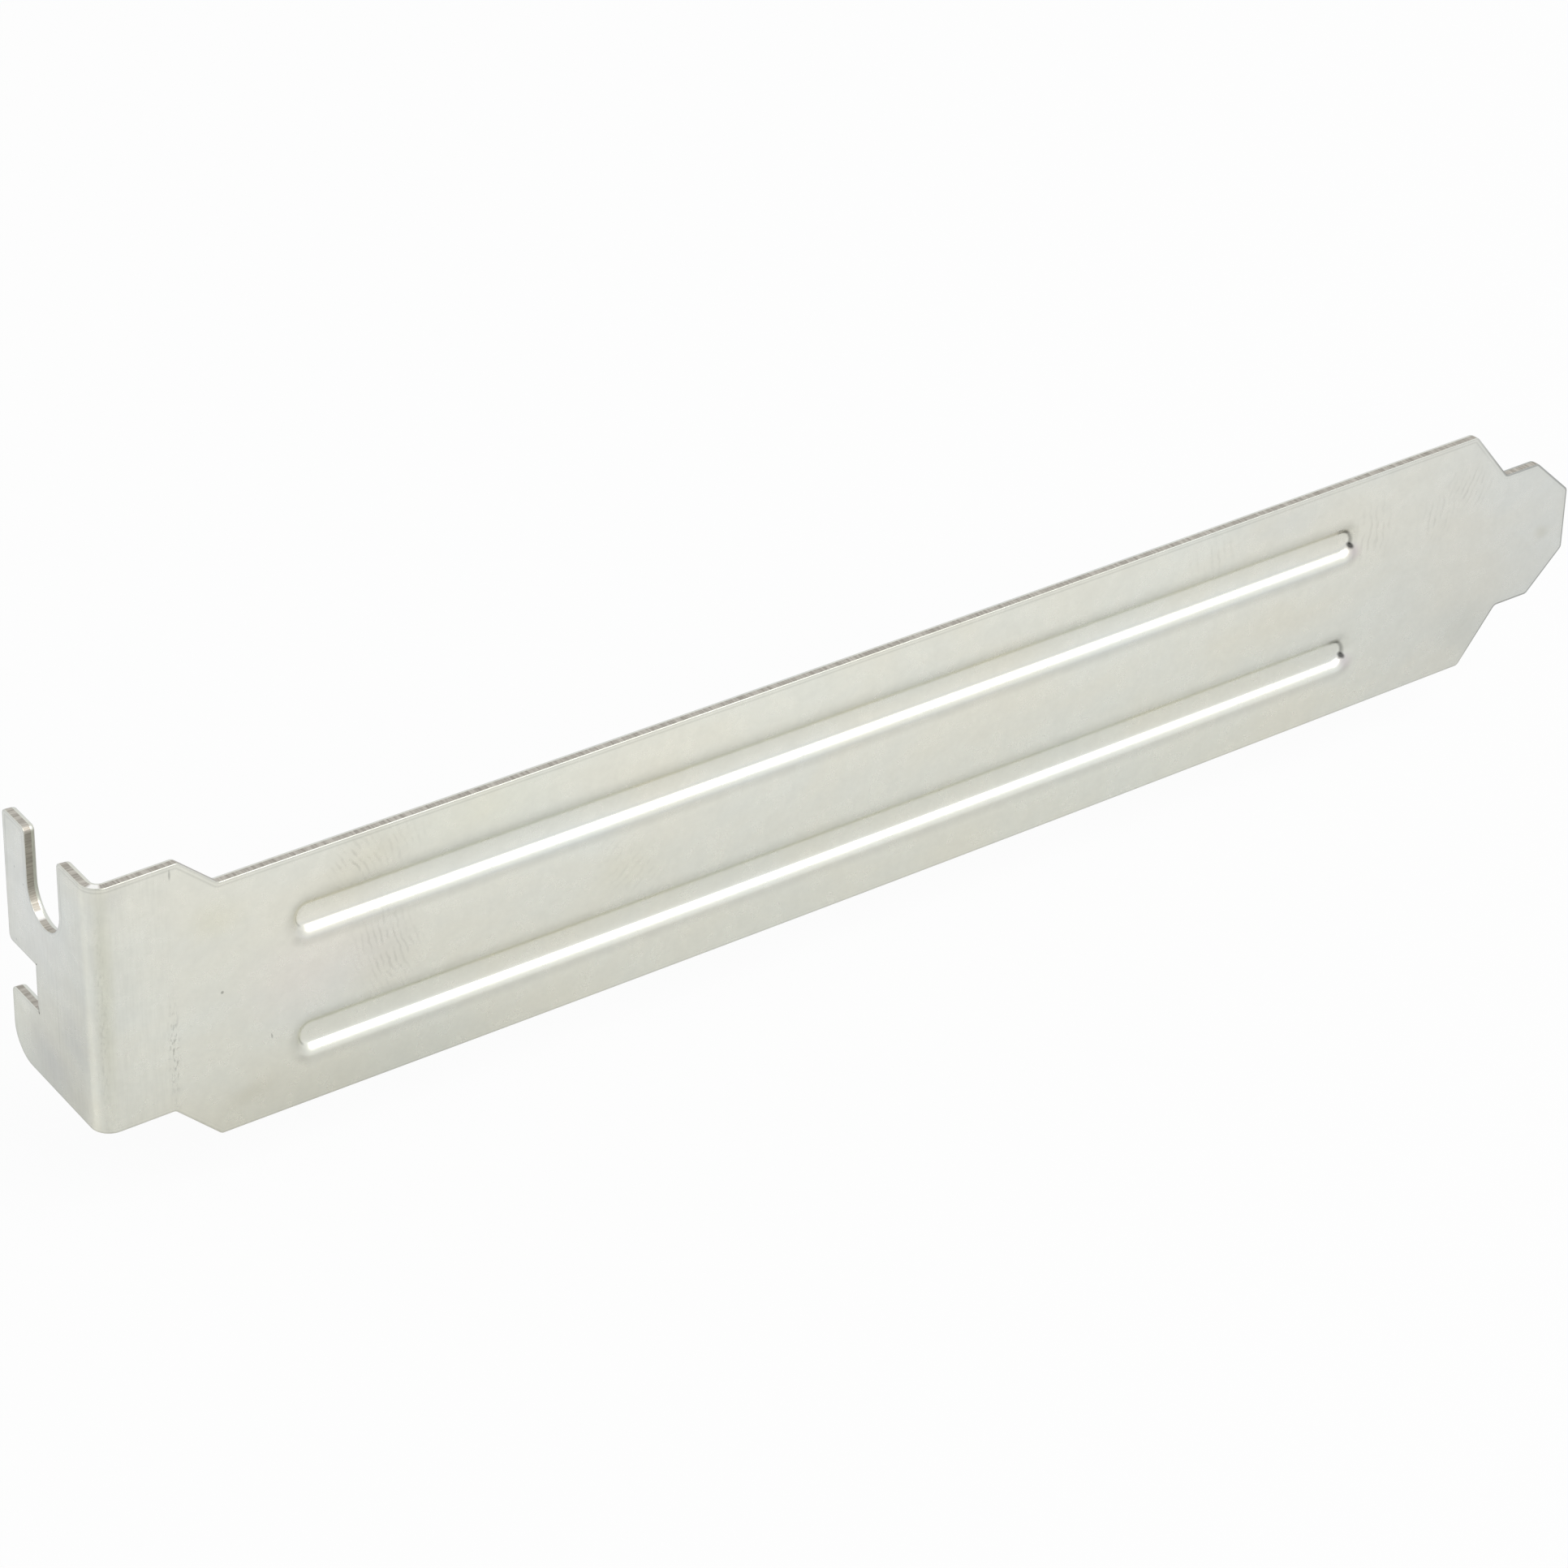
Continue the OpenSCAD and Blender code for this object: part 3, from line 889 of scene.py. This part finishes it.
def shearedSteel(groups):
    material, tree = newMaterial("shearedSteel")
    coarse = placeGroup(tree, groups["streak"], Width=sheared["streakWidth"])["Streak"]
    fine = placeGroup(tree, groups["streak"], Width=sheared["streakWidth"] / 4, Seed=9.0)["Streak"]
    streak = calc(tree, "ADD", calc(tree, "MULTIPLY", coarse, 1 - sheared["fineShare"]),
                  calc(tree, "MULTIPLY", fine, sheared["fineShare"]))
    colour = blendColour(tree, ramp(tree, streak, *sheared["contrast"]), sheared["dark"], sheared["light"])
    plan = addNode(tree, "ShaderNodeUVMap", uv_map="sheetPlan").outputs["UV"]
    place = calcVector(tree, "MULTIPLY", plan, fromPlan)
    # painted highlights: the cut lightens towards each glint's middle
    for along, across, radius in sheared["glints"]:
        away = calcVector(tree, "DISTANCE", place, (along, across, 0))
        share = ramp(tree, away, radius * 0.4, radius, 1.0, 0.0)
        colour = blendColour(tree, share, colour, sheared["glint"])
    relief = addNode(tree, "ShaderNodeBump", {
        "Height": streak, "Distance": sheared["streakDepth"] * millimetre, "Strength": 1.0})
    shader = addNode(tree, "ShaderNodeBsdfPrincipled", {
        "Base Color": colour, "Metallic": 1.0,
        "Roughness": calc(tree, "MULTIPLY_ADD", fine, sheared["roughnessSpread"],
                          sheared["roughness"] - sheared["roughnessSpread"] / 2),
        "Normal": relief.outputs[0]})
    addNode(tree, "ShaderNodeOutputMaterial", {"Surface": shader.outputs["BSDF"]})
    return material


groups = {"cloud": cloudGroup(), "grain": grainGroup(), "spot": spotGroup(), "chatter": chatterGroup(),
          "rib": ribGroup(), "streak": streakGroup()}
cover = makeCover()
cover.data.materials.append(platedSteel(groups))
cover.data.materials.append(shearedSteel(groups))
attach(cover, "root")
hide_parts("slot_cover")
print("cover placed")

# The studio, in metres: white paper below, white walls, one soft box and a dark
# card round the camera that the metal mirrors
studio = {
    "floorDrop": 0.005,
    "floorSize": 6.0,
    "paper": 0.71,
    "whiteToCamera": 0.93,
    "whiteToMetal": 0.95,
    "shadeReach": 0.046,
    # a painted pool of light on the paper as the metal sees it: middle, stretch, reach and rim colour
    "pool": (0.065, -0.025, 0.0),
    "poolStretch": (0.5, 1, 0),
    "poolReach": 0.13,
    "poolRim": (0.79, 0.82, 0.88, 1),
    "world": 0.85,
    "worldToMetal": 0.97,
    "worldColour": (0.965, 0.985, 1.0, 1),
    "keyPlace": (0.22, -0.62, 0.66),
    "keyAim": (0.06, 0, 0),
    "keySize": (0.86, 0.62),
    "keyWatts": 4.6,
    "keyColour": (1.0, 0.985, 0.95),
    "card": 0.05,
    "cardSize": (0.2, 0.3),
    "cardBehind": 0.02,
}


def board(name, corners, material):
    mesh = bpy.data.meshes.new(name)
    mesh.from_pydata([list(map(float, corner)) for corner in corners], [], [(0, 1, 2, 3)])
    mesh.materials.append(material)
    piece = bpy.data.objects.new(name, mesh)
    bpy.context.scene.collection.objects.link(piece)
    return piece


def makeFloor():
    size = studio["floorSize"]
    low = cadBox[0].z - studio["floorDrop"]
    material, tree = newMaterial("floorPaper")
    path = addNode(tree, "ShaderNodeLightPath").outputs
    # the metal sees the paper's own lit shade close by and plain white further off,
    # which paints shade round the cover, and a painted pool of light, fullest in front
    # of the cover, whose white dims and cools towards its rim
    place = addNode(tree, "ShaderNodeTexCoord").outputs["Object"]
    lower, upper = (tuple(corner) for corner in cadBox)
    held = calcVector(tree, "MINIMUM", calcVector(tree, "MAXIMUM", place, lower), upper)
    offset = calcVector(tree, "MULTIPLY", calcVector(tree, "SUBTRACT", place, held), (1, 1, 0))
    away = calcVector(tree, "LENGTH", offset)
    fromPool = calcVector(tree, "SUBTRACT", place, studio["pool"])
    aside = calcVector(tree, "LENGTH", calcVector(tree, "MULTIPLY", fromPool, studio["poolStretch"]))
    seen = calc(tree, "MAXIMUM", path["Is Camera Ray"], path["Is Transmission Ray"])
    toCamera = calc(tree, "MULTIPLY", seen, studio["whiteToCamera"])
    clear = ramp(tree, away, 0.0, studio["shadeReach"], 0.0, studio["whiteToMetal"])
    toMetal = calc(tree, "MULTIPLY", path["Is Glossy Ray"], clear)
    fall = calc(tree, "MULTIPLY", ramp(tree, aside, 0.0, studio["poolReach"]), path["Is Glossy Ray"])
    tint = blendColour(tree, fall, (1, 1, 1, 1), studio["poolRim"])
    paper = addNode(tree, "ShaderNodeBsdfDiffuse", {"Color": (studio["paper"],) * 3 + (1,)})
    white = addNode(tree, "ShaderNodeEmission", {"Color": tint, "Strength": 1.0})
    mix = addNode(tree, "ShaderNodeMixShader", {
        0: calc(tree, "MAXIMUM", toCamera, toMetal), 1: paper.outputs[0], 2: white.outputs[0]})
    addNode(tree, "ShaderNodeOutputMaterial", {"Surface": mix.outputs[0]})
    corners = [(-size, -size, low), (size, -size, low), (size, size, low), (-size, size, low)]
    board("floor", corners, material)


def makeWorld():
    world = bpy.data.worlds.new("studio")
    bpy.context.scene.world = world
    world.use_nodes = True
    tree = world.node_tree
    tree.nodes.clear()
    path = addNode(tree, "ShaderNodeLightPath").outputs
    seen = calc(tree, "MAXIMUM", path["Is Camera Ray"], path["Is Transmission Ray"])
    strength = ramp(tree, seen, 0.0, 1.0, studio["world"], 1.0)
    toMetal = calc(tree, "MULTIPLY", path["Is Glossy Ray"], studio["worldToMetal"])
    strength = calc(tree, "MAXIMUM", strength, toMetal)
    colour = blendColour(tree, seen, studio["worldColour"], (1, 1, 1, 1))
    glow = addNode(tree, "ShaderNodeBackground", {"Color": colour, "Strength": strength})
    addNode(tree, "ShaderNodeOutputWorld", {"Surface": glow.outputs[0]})


def makeKeyLight():
    lamp = bpy.data.lights.new("keyLight", "AREA")
    lamp.shape = "RECTANGLE"
    lamp.size, lamp.size_y = studio["keySize"]
    lamp.energy = studio["keyWatts"]
    lamp.color = studio["keyColour"]
    box = bpy.data.objects.new("keyLight", lamp)
    toward = Vector(studio["keyAim"]) - Vector(studio["keyPlace"])
    box.rotation_euler = toward.to_track_quat("-Z", "Y").to_euler()
    box.location = studio["keyPlace"]
    box.visible_camera = False
    bpy.context.scene.collection.objects.link(box)


# A long lens, from the case side, the flange end and above: degrees, and millimetres
view = {
    "azimuth": -36.58,
    "elevation": 31.78,
    "roll": -1.34,
    "lens": 129.75,
    "place": (-135.79, -257.35, 187.44),
}


def makeCamera():
    azimuth, elevation, roll = (math.radians(view[k]) for k in ("azimuth", "elevation", "roll"))
    level = math.cos(elevation)
    ahead = np.array([-math.sin(azimuth) * level, math.cos(azimuth) * level, -math.sin(elevation)])
    right = np.cross(ahead, [0, 0, 1])
    right /= np.linalg.norm(right)
    down = np.cross(ahead, right)
    across = math.cos(roll) * right + math.sin(roll) * down
    below = -math.sin(roll) * right + math.cos(roll) * down
    camera = bpy.data.objects.new("camera", bpy.data.cameras.new("camera"))
    camera.data.lens = view["lens"]
    camera.data.sensor_width = 36
    turn = Matrix(np.stack([across, -below, -ahead], -1).tolist()).to_4x4()
    place = np.array(view["place"]) * millimetre
    place[1] += form["bow"] * form["bowSharedOut"] * millimetre
    camera.matrix_world = Matrix.Translation(place) @ turn
    camera.data.clip_start = 0.01
    bpy.context.scene.collection.objects.link(camera)
    bpy.context.scene.camera = camera

    # the dark card that the metal mirrors round the lens
    material, tree = newMaterial("darkCard")
    darkening = addNode(tree, "ShaderNodeBsdfDiffuse", {"Color": (studio["card"],) * 3 + (1,)})
    addNode(tree, "ShaderNodeOutputMaterial", {"Surface": darkening.outputs[0]})
    wide, tall = (side / 2 for side in studio["cardSize"])
    centre = place - studio["cardBehind"] * ahead
    signs = ((-1, 1), (1, 1), (1, -1), (-1, -1))
    corners = [centre + wide * a * across + tall * b * below for a, b in signs]
    card = board("cameraCard", corners, material)
    card.visible_camera = False
    card.visible_shadow = False


makeFloor()
makeWorld()
makeKeyLight()
makeCamera()
bpy.context.scene.view_settings.view_transform = "Standard"
print("studio ready")
